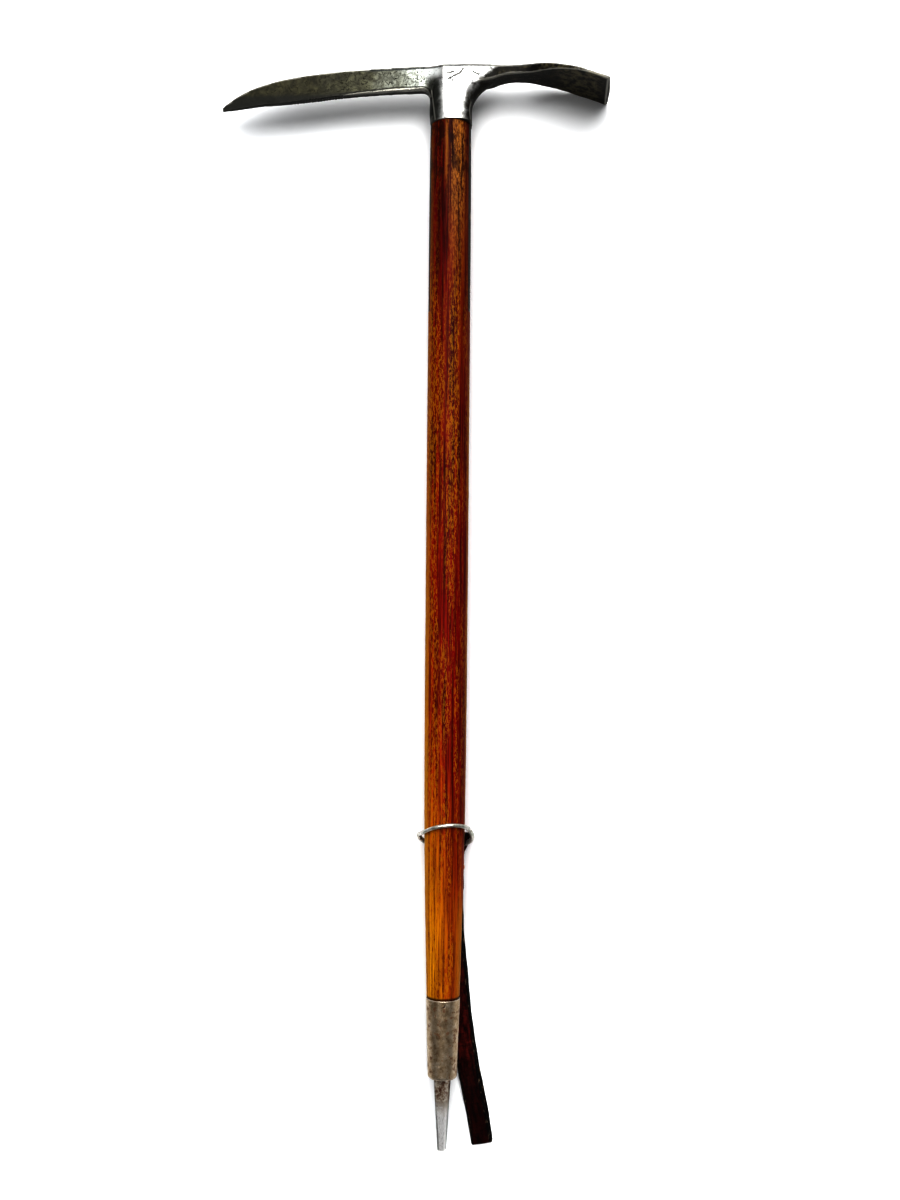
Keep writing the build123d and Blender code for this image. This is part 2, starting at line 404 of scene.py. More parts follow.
    def finish(self, colour, roughness=None, normal=None, metallic=None):
        """Joins what is given to the shader, and returns the material."""
        self.feed(self.shader.inputs["Base Color"], colour)
        if roughness is not None:
            self.feed(self.shader.inputs["Roughness"], roughness)
        if normal is not None:
            self.feed(self.shader.inputs["Normal"], normal)
        if metallic is not None:
            self.feed(self.shader.inputs["Metallic"], metallic)
        return self.material


# ---------------------------------------------------------------- materials
# Places in the materials are millimetres about the shaft's axis: x towards the adze, y up from the
# spike's point, z towards the front. Tones are albedos.
# tones for the pick's rim and the socket's lip: painted shade on the underside, a painted-shade line and a
# painted-highlight lip
UNDERSIDE_DARK_AND_SHADE = (0.012, 0.011, 0.007)
RIM_SHADE_LINE = (0.03, 0.03, 0.024)
LIP_HIGHLIGHT = (0.34, 0.33, 0.3)
RIM_SLOPE = 0.084
RIM_BEND_AT = -44.0
FILLET_CENTRE = (-23.0, 820.4)
FILLET_RADIUS = 7.0
# Cracks in the crown's skin, each from one point to another
CROWN_CRACKS = [
    ((-2.9, 837.3), (2.7, 839.0)),
    ((-1.8, 833.4), (1.0, 834.0)),
    ((1.0, 834.0), (3.2, 835.6)),
    ((3.2, 835.6), (7.1, 836.8)),
    ((7.1, 836.8), (10.5, 841.3)),
    ((17.2, 838.4), (21.7, 836.0)),
]


def head_steel():
    """Forged steel: dark patina on the pick and the adze, bright worn steel at the socket brightened
    further as a painted reflection, with painted highlights and painted shade.
    """
    m = Maker("forged_steel")
    place = m.place()
    x, y, z = m.split(place)
    edge = m.stored("edge")
    mottle = m.noise(place, 0.2, 6, 0.62, 0.3)
    fine = m.noise(place, 1.1, 5, 0.6)
    along = m.plus(x, m.spread(m.noise(place, 0.055, 5, 0.6), 70.0))
    wavy = m.plus(x, m.spread(mottle, 5.0))
    colour = pick_patina(m, along, mottle)
    colour, under = pick_rim(m, colour, x, y, z)
    specks = m.times(m.span(fine, 0.44, 0.34), m.span(x, -110.0, -60.0, 0.3, 0.8))
    colour = m.paint(colour, specks, (0.035, 0.035, 0.028))
    # a painted highlight along the pick's top edge
    top_edge_highlight = m.times(m.span(y, 838.0, 844.0), m.span(along, -60.0, -15.0))
    colour = m.paint(colour, top_edge_highlight, (0.5, 0.52, 0.5), 0.35)
    colour, lit = socket_face(m, colour, place, x, y, wavy, mottle)
    colour, adze = adze_patina(m, colour, x, y, mottle)
    marks = corrosion(m, place, x, y, mottle)
    colour = m.paint(colour, marks, (0.03, 0.028, 0.02), 0.85)
    langet = m.span(y, 802.6, 801.6)
    colour = m.paint(colour, langet, (0.022, 0.02, 0.016))
    # painted shade along the crown's upper edge, which turns away from the view
    fall = m.times(m.absolute(m.plus(x, 25.0)), 0.016)
    crown_edge_shade = m.times(m.span(m.plus(y, fall), 842.5, 843.6), m.span(x, -75.0, -60.0))
    crown_edge_shade = m.times(crown_edge_shade, m.span(fine, 0.3, 0.6, 0.97, 0.75))
    colour = m.paint(colour, crown_edge_shade, (0.03, 0.033, 0.032))
    # edges lightened, partly worn bright by rubbing and partly a painted highlight; hollows darkened,
    # painted shade and partly dirt
    dull = m.most(m.times(langet, 0.4), m.times(under, 0.45))
    colour = m.paint(colour, m.times(m.span(edge, 0.15, 0.6), m.minus(0.5, dull)), (0.4, 0.39, 0.35))
    colour = m.paint(colour, m.span(edge, -0.12, -0.5), (0.04, 0.036, 0.03), 0.8)
    dark = m.most(adze, langet, m.span(along, -30.0, -90.0, 0.0, 0.7), crown_edge_shade, lit)
    metal = m.minus(0.8, m.times(dark, 0.4))
    rough = m.plus(m.span(fine, 0.3, 0.7, 0.36, 0.48), m.times(dark, 0.12))
    normal = m.bump(mottle, 0.12)
    normal = m.bump(fine, 0.05, normal)
    normal = m.bump(m.minus(1.0, marks), 0.18, normal)
    return m.finish(colour, rough, normal, metal)


def pick_patina(m, along, mottle):
    """The pick's steel, from its dark tip to the worn metal beside the socket."""
    steel = m.ramp(
        m.math("DIVIDE", m.plus(along, 120.0), 120.0),
        (0.12, (0.056, 0.052, 0.028)), (0.42, (0.09, 0.088, 0.06)), (0.66, (0.19, 0.196, 0.174)),
        (0.86, (0.36, 0.372, 0.352)), (0.95, (0.5, 0.51, 0.49)),
    )
    shade = m.ramp(
        mottle, (0.34, (0.36, 0.35, 0.32)), (0.5, (0.76, 0.76, 0.75)), (0.62, (1.06, 1.06, 1.04))
    )
    return m.mix(1.0, steel, shade, "MULTIPLY")


def rim_distance(m, x, y):
    """How far a point of the pick lies inside its lower edge and the fillet that runs down the socket."""
    past = m.math("MINIMUM", m.minus(x, RIM_BEND_AT), 0.0)
    level = m.minus(y, m.times(past, RIM_SLOPE))
    across = m.most(m.minus(x, FILLET_CENTRE[0]), 0.0)
    upward = m.most(m.minus(level, FILLET_CENTRE[1]), 0.0)
    square = m.plus(m.times(across, across), m.times(upward, upward))
    return m.minus(m.math("SQRT", square), FILLET_RADIUS)


def pick_rim(m, colour, x, y, z):
    """The rim forged along the pick's lower edge: a painted-highlight line between two painted-shade lines;
    and the dark part, mostly painted shade on the underside.
    """
    rim = rim_distance(m, x, y)
    inner_half = m.times(m.span(x, -100.0, -80.0), m.span(y, 819.0, 823.0))
    # a painted-shade line just inside the rim
    colour = m.paint(colour, m.times(m.stripe(rim, 2.0, 0.8, 0.3), inner_half), RIM_SHADE_LINE, 0.85)
    # a painted-highlight line along the rim's lip
    colour = m.paint(colour, m.times(m.stripe(rim, 0.5, 1.1, 0.5), inner_half), LIP_HIGHLIGHT, 0.8)
    # painted shade on the pick's underside, which faces away from the light
    underside_shade = m.times(m.span(rim, 0.9, 0.3), m.span(z, 1.5, -0.5))
    # darker along the toothed stretch and along the tip's lower bevel
    toothed = m.times(m.span(rim, 2.2, 1.0), m.span(x, -78.0, -90.0))
    worn = m.times(m.span(rim, 4.6, 2.4), m.span(x, -122.0, -130.0))
    under = m.most(underside_shade, m.most(toothed, worn))
    return m.paint(colour, under, UNDERSIDE_DARK_AND_SHADE, 0.9), under


def socket_face(m, colour, place, x, y, wavy, mottle):
    """The socket's bright face, partly worn steel and partly a painted reflection; the painted-shade band
    and painted-highlight lip to its left; and where the band is lit, a painted highlight.
    """
    # the bright face: worn steel, made brighter as a painted reflection of the light
    face = m.ramp(mottle, (0.25, (0.45, 0.46, 0.44)), (0.42, (0.64, 0.64, 0.63)), (0.8, (0.7, 0.7, 0.69)))
    face = m.paint(face, m.span(m.noise(place, 0.9, 5, 0.7), 0.42, 0.32), (0.2, 0.2, 0.19))
    colour = m.mix(m.span(wavy, -13.0, -7.0), colour, face)
    left = m.minus(wavy, m.span(y, 842.0, 828.0, 0.0, -6.0))
    # painted shade in the concave fillet left of the face, partly dark patina
    band = m.times(m.span(left, -15.5, -10.5), m.span(wavy, -4.5, -10.5))
    band = m.times(band, m.span(y, 843.5, 829.0))
    colour = m.paint(colour, band, (0.05, 0.052, 0.042), 0.88)
    # a painted highlight where the band catches the light
    lit = m.times(m.span(wavy, -23.0, -18.0), m.span(wavy, -6.0, -10.0))
    lit = m.times(lit, m.span(y, 833.0, 840.0))
    colour = m.paint(colour, lit, (0.66, 0.67, 0.66), 0.85)
    # painted shade on the socket's left flank below the pick
    flank_shade = m.times(m.span(x, -12.4, -13.6), m.span(y, 828.0, 824.0))
    colour = m.paint(colour, flank_shade, (0.016, 0.016, 0.012), 0.92)
    # a painted highlight along the light lip on the socket's left side
    leaning = m.plus(x, m.times(m.minus(y, 824.0), 0.14))
    side_lip_highlight = m.times(m.stripe(leaning, -14.6, 0.85, 0.35), m.span(y, 827.0, 825.0))
    return m.paint(colour, side_lip_highlight, LIP_HIGHLIGHT, 0.75), lit


def adze_patina(m, colour, x, y, mottle):
    """The blackened adze, beyond a curve that climbs from the socket's rim, lighter along its top: worn by
    rubbing and a painted highlight.
    """
    black = m.ramp(
        mottle, (0.35, (0.004, 0.003, 0.001)), (0.56, (0.014, 0.011, 0.005)), (0.8, (0.08, 0.07, 0.04))
    )
    above = m.most(m.minus(y, 806.0), 0.0)
    rise = m.times(m.times(above, above), 0.018)
    adze = m.span(m.minus(m.plus(x, m.spread(mottle, 12.0)), rise), 4.5, 14.5)
    colour = m.mix(adze, colour, black)
    # lighter along the adze's top: wear from rubbing and a painted highlight
    crest = m.plus(y, m.span(x, 60.0, 118.0, 0.0, 14.0))
    top_wear_and_highlight = m.times(m.span(x, 48.0, 70.0), m.span(crest, 838.5, 842.0))
    top_wear_and_highlight = m.times(top_wear_and_highlight, m.span(mottle, 0.4, 0.6))
    return m.paint(colour, top_wear_and_highlight, (0.16, 0.14, 0.08), 0.7), adze


def corrosion(m, place, x, y, mottle):
    """Thin wandering lines and cracks on the crown, and a few dark pits."""
    vein = m.stripe(m.noise(place, 0.16, 3, 0.5, 1.2), 0.5, 0.014, 0.004)
    crown = m.times(m.span(y, 824.0, 829.0), m.span(mottle, 0.42, 0.52))
    pits = m.times(m.span(m.cells(place, 0.5), 0.2, 0.08), m.span(mottle, 0.48, 0.6))
    marks = m.most(m.times(vein, crown), m.times(pits, 0.7))
    return m.most(marks, crown_cracks(m, x, y))


def crown_cracks(m, x, y):
    """Short dark cracks with ragged sides."""
    ragged = m.spread(m.noise(m.place(), 0.8, 4), 2.0)
    x = m.plus(x, ragged)
    y = m.minus(y, ragged)
    cracks = []
    for (x0, y0), (x1, y1) in CROWN_CRACKS:
        length = math.hypot(x1 - x0, y1 - y0)
        way_x, way_y = (x1 - x0) / length, (y1 - y0) / length
        from_x, from_y = m.minus(x, x0), m.minus(y, y0)
        along = m.plus(m.times(from_x, way_x), m.times(from_y, way_y))
        aside = m.minus(m.times(from_x, way_y), m.times(from_y, way_x))
        past = m.minus(m.absolute(m.minus(along, length / 2)), length / 2)
        cracks.append(m.times(m.span(m.absolute(aside), 0.75, 0.3), m.span(past, 0.5, 0.0)))
    return m.most(*cracks)


# The wood's colour on its left and right sides, at heights along the shaft
WOOD_LEFT = [
    (147.0, (0.6, 0.3, 0.002)), (209.0, (0.53, 0.22, 0.002)), (303.0, (0.36, 0.055, 0.001)),
    (428.0, (0.27, 0.014, 0.001)), (584.0, (0.2, 0.012, 0.001)), (701.0, (0.175, 0.004, 0.001)),
    (779.0, (0.12, 0.002, 0.001)),
]
WOOD_RIGHT = [
    (147.0, (0.34, 0.085, 0.002)), (209.0, (0.33, 0.06, 0.001)), (303.0, (0.205, 0.001, 0.001)),
    (428.0, (0.215, 0.002, 0.001)), (584.0, (0.2, 0.02, 0.001)), (701.0, (0.19, 0.04, 0.002)),
    (779.0, (0.25, 0.11, 0.022)),
]
WOOD_SPAN = 850.0
WOOD_BLACK = (0.03, 0.003, 0.001)
GOLD = (0.46, 0.23, 0.002)
# Drying cracks at the head end: x at the top, lean, top, foot and half width
WOOD_CRACKS = [
    (0.4, -0.03, 804.0, 758.0, 0.6),
    (-10.7, 0.02, 804.0, 742.0, 0.45),
    (-5.8, 0.015, 780.0, 716.0, 0.35),
    (5.6, -0.02, 752.0, 690.0, 0.4),
    (9.0, 0.02, 790.0, 735.0, 0.4),
]


def shaft_wood():
    """Varnished ash: maroon with ochre flecks, stained at the head and worn to orange at the foot."""
    m = Maker("varnished_wood", Specular_IOR_Level=0.1, Coat_Weight=0.05, Coat_Roughness=0.25)
    m.shader.inputs["Coat IOR"].default_value = 1.3
    x, y, _ = m.split(m.place())
    fibre = m.noise(m.place((1.5, 0.035, 1.5)), 1.0, 5, 0.7)
    lines = m.noise(m.place((0.6, 0.012, 0.6)), 1.0, 4, 0.6, 0.3)
    flame = m.noise(m.place((0.16, 0.009, 0.16)), 1.0, 4, 0.6, 0.6)
    fleck = m.noise(m.place((1.15, 0.26, 1.15)), 1.0, 4, 0.65, 0.6)
    sway = m.spread(flame, 34.0)
    colour = wood_ground(m, x, y, sway, lines)
    colour = wood_flecks(m, colour, x, y, flame, lines, fleck)
    colour = wood_edges(m, colour, x, y)
    colour = wood_head_end(m, colour, x, y, sway, fleck)
    dark = m.most(m.times(m.span(fibre, 0.43, 0.33), 0.5), wood_cracks(m, x, y))
    colour = m.mix(dark, colour, WOOD_BLACK)
    # darker bands on the wood at the socket's rim and at the ferrule's top edge
    wood_meeting_bands = m.most(m.span(y, 800.9, 802.1), m.span(y, 122.5, 120.6))
    colour = m.paint(colour, wood_meeting_bands, (0.03, 0.01, 0.004), 0.85)
    normal = m.bump(m.minus(m.times(fibre, 0.7), dark), 0.16)
    return m.finish(colour, m.span(fibre, 0.3, 0.7, 0.55, 0.42), normal)


def wood_ground(m, x, y, sway, lines):
    """The colour on each side of a wandering middle line, under the grain's dark lines."""
    level = m.math("DIVIDE", y, WOOD_SPAN)
    left = m.ramp(level, *[(at / WOOD_SPAN, tone) for at, tone in WOOD_LEFT])
    right = m.ramp(level, *[(at / WOOD_SPAN, tone) for at, tone in WOOD_RIGHT])
    colour = m.mix(m.span(m.plus(x, sway), -7.0, 7.0), left, right)
    red = m.ramp(lines, (0.37, (0.3, 0.06, 0.06)), (0.5, (0.76, 0.56, 0.6)), (0.58, (1.06, 1.06, 1.0)))
    brown = m.ramp(lines, (0.38, (0.42, 0.3, 0.26)), (0.5, (0.76, 0.68, 0.6)), (0.58, (1.0, 1.0, 1.0)))
    return m.mix(1.0, colour, m.mix(m.span(y, 330.0, 230.0), red, brown), "MULTIPLY")


def wood_flecks(m, colour, x, y, flame, lines, fleck):
    """Ochre flecks in upright streaks, mostly on the left, and small maroon clots."""
    left = m.span(x, -3.0, -9.0, 0.0, 0.16)
    middle = m.times(m.stripe(x, 5.0, 6.0, 2.0, 0.2), m.span(y, 440.0, 560.0))
    streaks = m.plus(m.plus(flame, m.most(left, middle)), m.times(lines, 0.3))
    flecks = m.times(m.span(fleck, 0.49, 0.53), m.span(streaks, 0.58, 0.76))
    flecks = m.times(flecks, m.span(y, 640.0, 720.0, 0.6, 0.15))
    colour = m.mix(flecks, colour, (0.42, 0.21, 0.002))
    clots = m.times(m.span(fleck, 0.44, 0.36), m.span(lines, 0.56, 0.44))
    return m.paint(colour, clots, (0.1, 0.002, 0.001), 0.7)


def wood_edges(m, colour, x, y):
    """A golden edge down the left and at the worn foot, and shade down the right."""
    golden = m.times(m.span(x, -11.5, -14.2), m.span(y, 640.0, 300.0, 0.2, 0.7))
    colour = m.mix(golden, colour, GOLD)
    worn_side = m.times(m.span(x, 8.0, 12.5), m.span(y, 215.0, 170.0, 0.0, 0.6))
    colour = m.mix(worn_side, colour, (0.4, 0.18, 0.002))
    dim_side = m.times(m.span(x, 8.0, 15.0), m.span(y, 190.0, 250.0, 0.0, 0.5))
    colour = m.mix(dim_side, colour, (0.08, 0.002, 0.001))
    far_edge = m.times(m.span(x, 15.0, 15.8), m.span(y, 650.0, 560.0, 0.0, 0.45))
    return m.mix(far_edge, colour, (0.36, 0.18, 0.002))


def wood_head_end(m, colour, x, y, sway, fleck):
    """The head end: an ochre wedge right of the middle, and black stains."""
    wedge = m.times(m.span(m.plus(x, m.times(sway, 0.25)), -1.0, 2.5), m.span(y, 660.0, 780.0))
    wedge = m.times(wedge, m.span(x, 13.5, 10.0))
    ochre = m.ramp(
        fleck, (0.4, (0.06, 0.008, 0.002)), (0.49, (0.25, 0.11, 0.022)), (0.6, (0.42, 0.21, 0.05))
    )
    colour = m.mix(m.times(wedge, 0.75), colour, ochre)
    stain = m.span(m.noise(m.place((0.2, 0.07, 0.2)), 1.0, 6, 0.7), 0.5, 0.6)
    return m.mix(m.times(stain, m.span(y, 700.0, 800.0, 0.08, 0.85)), colour, (0.03, 0.004, 0.001))


def wood_cracks(m, x, y):
    """Dark wandering cracks along the grain."""
    wobble = m.times(m.noise(m.place((0.0, 0.16, 0.0)), 1.0, 3), 2.4)
    cracks = []
    for start, lean, top, foot, width in WOOD_CRACKS:
        line = m.plus(m.times(m.minus(y, top), lean), wobble)
        mark = m.times(m.stripe(m.minus(x, line), start, width, width * 0.35), m.span(y, foot, foot + 14.0))
        cracks.append(m.times(mark, m.span(y, top + 3.0, top)))
    return m.most(*cracks)


def rusty_steel(name, dark, middle, light, rust, grain=0.3):
    """Grey-brown worn steel with rust blotches, pits and brighter edges, partly wear and partly a painted
    highlight.
    """
    m = Maker(name)
    place = m.place()
    blotch = m.noise(place, grain, 6, 0.62, 0.3)
    fine = m.noise(place, 1.8, 6, 0.68)
    both = m.plus(m.times(blotch, 0.6), m.times(fine, 0.4))
    colour = m.ramp(both, (0.36, dark), (0.5, middle), (0.64, light))
    spots = m.times(m.span(m.noise(place, 0.26, 5, 0.55), 0.54, 0.66), rust)
    colour = m.mix(spots, colour, (0.13, 0.055, 0.02))
    pits = m.times(m.span(m.cells(place, 0.55), 0.2, 0.08), m.span(blotch, 0.5, 0.6))
    colour = m.paint(colour, pits, (0.035, 0.022, 0.014), 0.8)
    # edges lightened: partly wear, partly a painted highlight
    colour = m.paint(colour, m.span(m.stored("edge"), 0.15, 0.6), (0.66, 0.63, 0.58), 0.4)
    metal = m.minus(0.85, m.times(spots, 0.5))
    rough = m.plus(m.span(fine, 0.3, 0.7, 0.36, 0.5), m.times(spots, 0.2))
    normal = m.bump(m.minus(1.0, pits), 0.15, m.bump(both, 0.1))
    return m.finish(colour, rough, normal, metal)


def spike_steel():
    """The spike: rusty near the ferrule, polished bright towards the point by use."""
    m = Maker("spike_steel")
    place = m.place()
    x, y, _ = m.split(place)
    blotch = m.noise(place, 0.3, 6, 0.62, 0.4)
    fine = m.noise(m.place((1.6, 0.5, 1.6)), 1.0, 6, 0.65)
    bright = m.ramp(fine, (0.3, (0.5, 0.49, 0.47)), (0.45, (0.7, 0.69, 0.68)), (0.7, (0.86, 0.86, 0.85)))
    rusty = m.ramp(
        blotch, (0.36, (0.14, 0.07, 0.04)), (0.5, (0.34, 0.28, 0.22)), (0.64, (0.56, 0.52, 0.46))
    )
    upper = m.span(m.plus(y, m.times(blotch, 26.0)), 40.0, 56.0)
    colour = m.mix(upper, bright, rusty)
    colour = m.paint(colour, m.span(m.cells(place, 0.22), 0.16, 0.08), (0.07, 0.03, 0.02), 0.6)
    # painted shade along the spike's sides, which turn away from the light
    half_width = m.span(y, 0.0, 57.0, 3.4, 6.4)
    dim = m.span(m.minus(half_width, m.absolute(m.minus(x, 0.3))), 1.5, 0.2)
    colour = m.paint(colour, dim, (0.1, 0.1, 0.095), 0.85)
    # edges lightened: partly wear, partly a painted highlight
    colour = m.paint(colour, m.span(m.stored("edge"), 0.2, 0.7), (0.85, 0.84, 0.82), 0.5)
    rough = m.plus(m.span(fine, 0.3, 0.7, 0.28, 0.42), m.times(upper, 0.14))
    normal = m.bump(fine, 0.07, m.bump(blotch, 0.12))
    return m.finish(colour, rough, normal, m.span(upper, 0.0, 1.0, 0.6, 0.7))


def strap_leather():
    """Old strap leather: near-black towards the edges, partly painted shade, dark red-brown face, creases
    across and pale scuffs.
    """
    m = Maker("leather", Specular_IOR_Level=0.12)
    across = m.split(m.along())[0]
    height = m.split(m.place())[1]
    pore = m.cells(m.along(), 1.7)
    blotch = m.noise(m.along((0.35, 0.08, 1)), 1.0, 5, 0.6)
    crease = m.noise(m.along((0.1, 0.9, 1)), 1.0, 4, 0.6, 0.5)
    black = (0.008, 0.001, 0.001)
    face = m.ramp(blotch, (0.36, black), (0.5, (0.075, 0.007, 0.005)), (0.66, (0.16, 0.022, 0.014)))
    face = m.mix(m.span(height, 85.0, 40.0, 0.0, 0.75), face, black)
    # near-black towards both edges, partly as painted shade beside the layers
    side = m.span(m.absolute(across), 5.0, 7.0)
    colour = m.mix(side, face, (0.004, 0.003, 0.003))
    creased = m.stripe(crease, 0.5, 0.02, 0.005)
    colour = m.paint(colour, creased, (0.008, 0.004, 0.003), 0.6)
    scuffs = m.span(m.noise(m.along((0.55, 0.22, 1)), 1.0, 5, 0.7), 0.66, 0.74)
    rubs = m.times(m.span(m.noise(m.along((0.9, 0.16, 1)), 1.0, 4, 0.7), 0.56, 0.64), side)
    scuffs = m.most(scuffs, rubs)
    colour = m.paint(colour, scuffs, (0.34, 0.24, 0.16), 0.6)
    relief = m.plus(m.times(pore, 0.35), m.minus(1.0, creased))
    rough = m.plus(m.span(blotch, 0.3, 0.7, 0.58, 0.44), m.times(scuffs, 0.2))
    return m.finish(colour, rough, m.bump(relief, 0.14))


def floor_paint():
    """Near-white matt paint with a faint unevenness."""
    m = Maker("pale_floor", Roughness=0.95, Specular_IOR_Level=0.1)
    faint = m.noise(m.place((0.002, 0.002, 0.002)), 1.0, 3)
    return m.finish(m.ramp(faint, (0.3, (0.85, 0.86, 0.87)), (0.7, (0.87, 0.87, 0.87))))


STEEL = head_steel()
WOOD = shaft_wood()
FERRULE = rusty_steel("ferrule_steel", (0.2, 0.14, 0.08), (0.42, 0.34, 0.245), (0.54, 0.48, 0.4), 0.7, 0.16)
SPIKE = spike_steel()
RING = rusty_steel("ring_steel", (0.24, 0.24, 0.2), (0.5, 0.5, 0.46), (0.82, 0.8, 0.78), 0.2, 0.2)
IRON = rusty_steel("rivet_iron", (0.06, 0.045, 0.035), (0.16, 0.12, 0.09), (0.32, 0.28, 0.23), 0.6, 0.5)
COPPER = rusty_steel("copper", (0.22, 0.09, 0.05), (0.5, 0.23, 0.13), (0.75, 0.42, 0.27), 0.2, 0.5)
LEATHER = strap_leather()


# ---------------------------------------------------------------- head
SOCKET_MIDDLE = 0.9
SOCKET_HALF_WIDTH = 16.2
SOCKET_DEPTH = 12.0
SOCKET_RIM = to_axe(shaft_box[1])[1] - 35.7
FULL_SIDE = 3.4
FLAT_SIDE = 2.3
RIM_DIP = 2.4
SIDE_FULLNESS = 0.8
HEAD_VOXEL = 0.52 * MM
HAMMERED = [(0.14, 17.0, 1), (0.07, 6.0, 2), (0.03, 2.2, 3)]


def square_socket(local, normals):
    """How far the socket's faces move in z to be fuller on the adze side and a little flat in front."""
    x, y, z = local.T
    share = np.clip(np.abs(x - SOCKET_MIDDLE) / SOCKET_HALF_WIDTH, 0, 0.999)
    power = np.where(x > SOCKET_MIDDLE, FULL_SIDE, FLAT_SIDE)
    full = SOCKET_DEPTH * (1 - share**power) ** (1 / power)
    outside = (normals[:, 2] * np.sign(z) > 0.15) & (np.abs(z) > 3.5) & (y > SOCKET_RIM - 0.2)
    outside &= np.abs(x - SOCKET_MIDDLE) < SOCKET_HALF_WIDTH
    weight = outside * smooth_step(836, 826, y)
    wanted = np.where(np.abs(z) < full, full, np.minimum(np.abs(z), SOCKET_DEPTH))
    return np.where(weight > 0, (np.sign(z) * wanted - z) * weight, 0.0)


def socket_shift(local):
    """Dips the socket's rim at its sides, and fills out its left side below the pick."""
    x, y, _ = local.T
    shift = np.zeros_like(local)
    aside = np.clip(np.abs(x - SOCKET_MIDDLE) / SOCKET_HALF_WIDTH, 0, 1)
    lip = smooth_step(SOCKET_RIM + 4, SOCKET_RIM + 1, y) * smooth_step(SOCKET_RIM - 2, SOCKET_RIM - 0.6, y)
    shift[:, 1] = -RIM_DIP * aside**2 * lip
    left = smooth_step(-9, -14, x) * smooth_step(-24, -19, x)
    below_pick = smooth_step(801.5, 806, y) * smooth_step(828, 820, y)
    shift[:, 0] = -SIDE_FULLNESS * left * below_pick
    return shift


def build_head():
    """The forging: the CAD head's form with softened necks and edges and a hammered skin."""
    piece = remeshed("head", "head_forging", HEAD_VOXEL, STEEL)
    points = vertices_of(piece)
    local = to_axe(points)
    points[:, 2] += square_socket(local, normals_of(piece)) * MM
    set_vertices(piece, points)
    x, y, _ = local.T
    neck = smooth_step(-30, -14, x) * smooth_step(66, 44, x) * smooth_step(804, 810, y)
    tips = np.maximum(smooth_step(-168, -179, x), smooth_step(114, 120, x))
    teeth = smooth_step(-82, -86, x) * smooth_step(-128, -126, x) * smooth_step(829, 825, y)
    soften(piece, (0.35 + 0.65 * neck) * (1 - 0.85 * tips) * (1 - 0.95 * teeth), 2)
    soften(piece, neck, 14)
    local = to_axe(vertices_of(piece))
    roughen(piece, 0.2, HAMMERED, (1 - tips) * smooth_step(806, 818, local[:, 1]))
    set_vertices(piece, vertices_of(piece) + socket_shift(local) * MM)
    mark_edges(piece)
    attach(piece, "axe")
    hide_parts("head")


# ---------------------------------------------------------------- shaft
SHAFT_STEPS = 900
SHAFT_AROUND = 160
RAY_START = 40.0


def node_tree_of(name):
    """A ray-casting tree of a CAD node's surface at rest."""
    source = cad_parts[name]
    depsgraph = bpy.context.evaluated_depsgraph_get()
    mesh = source.evaluated_get(depsgraph).to_mesh()
    points = [source.matrix_world @ v.co for v in mesh.vertices]
    faces = [tuple(p.vertices) for p in mesh.polygons]
    source.evaluated_get(depsgraph).to_mesh_clear()
    return BVHTree.FromPolygons(points, faces)


def wrapped(tree, first, last, steps, around):
    """Rings of points on a node's outer surface, found from outside towards the shaft's axis."""
    rings = np.zeros((steps, around, 3))
    for i, y in enumerate(np.linspace(first, last, steps)):
        middle = Vector(axe(0, y, 0))
        for j in range(around):
            angle = 2 * math.pi * j / around
            way = Vector((math.cos(angle), 0, math.sin(angle)))
            hit = tree.ray_cast(middle + way * RAY_START * MM, -way)[0]
            rings[i, j] = hit if hit is not None else middle
    return rings


def build_shaft():
    """The wood, with fine grain and a few dents in its surface."""
    low = to_axe(shaft_box[0])[1]
    high = to_axe(shaft_box[1])[1]
    rings = wrapped(node_tree_of("shaft"), low + 0.3, high - 0.3, SHAFT_STEPS, SHAFT_AROUND)
    piece = skin("shaft_wood", rings, WOOD)
    points = vertices_of(piece)
    local = to_axe(points)
    grain = value_noise(local * np.array([1, 0.02, 1]), 0.9, 5)
    dents = np.maximum(value_noise(local * np.array([1, 0.4, 1]), 5.0, 6) - 0.55, 0)
    depth = 0.04 + 0.04 * grain + 0.5 * dents
    set_vertices(piece, points - normals_of(piece) * (depth * MM)[:, None])
    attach(piece, "axe")
    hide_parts("shaft")


# ---------------------------------------------------------------- ferrule and spike
FOOT_VOXEL = 0.4 * MM


def build_ferrule():
    """The cap over the shaft's foot, a little dented."""
    piece = remeshed("ferrule", "ferrule_cap", FOOT_VOXEL, FERRULE)
    soften(piece, np.ones(len(piece.data.vertices)), 3)
    roughen(piece, 0.14, [(0.1, 7.0, 11), (0.04, 2.0, 12)])
    mark_edges(piece)
    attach(piece, "axe")
    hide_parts("ferrule")


def build_spike():
    """The spike, with its corners worn round."""
    piece = remeshed("spike", "spike_point", FOOT_VOXEL, SPIKE)
    soften(piece, np.ones(len(piece.data.vertices)), 4)
    roughen(piece, 0.12, [(0.08, 6.0, 21), (0.04, 2.0, 22)])
    mark_edges(piece)
    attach(piece, "axe")
    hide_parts("spike")


# ---------------------------------------------------------------- ring
RING_TILT = math.radians(32.0)
WIRE_RADIUS = 1.7
RING_BEND = 0.15
WIRE_WEAR = 0.35
ring_middle = (ring_box[0] + ring_box[1]) / 2
RING_RADIUS = (ring_box[1][0] - ring_box[0][0]) / 2 / MM - WIRE_RADIUS
RING_STEPS = 220
WIRE_AROUND = 18


def ring_point(turn, radius):
    """A point of the ring; turn 0 is the back, and it grows towards +x. The front is bent a little."""
    ahead = -math.cos(turn) * radius
    across = math.sin(turn) * radius
    place = np.array([across, ahead * math.sin(RING_TILT), ahead * math.cos(RING_TILT)])
    place[1] += RING_BEND * across * smooth_step(0.0, 0.7 * RING_RADIUS, ahead)
    return ring_middle + place * MM


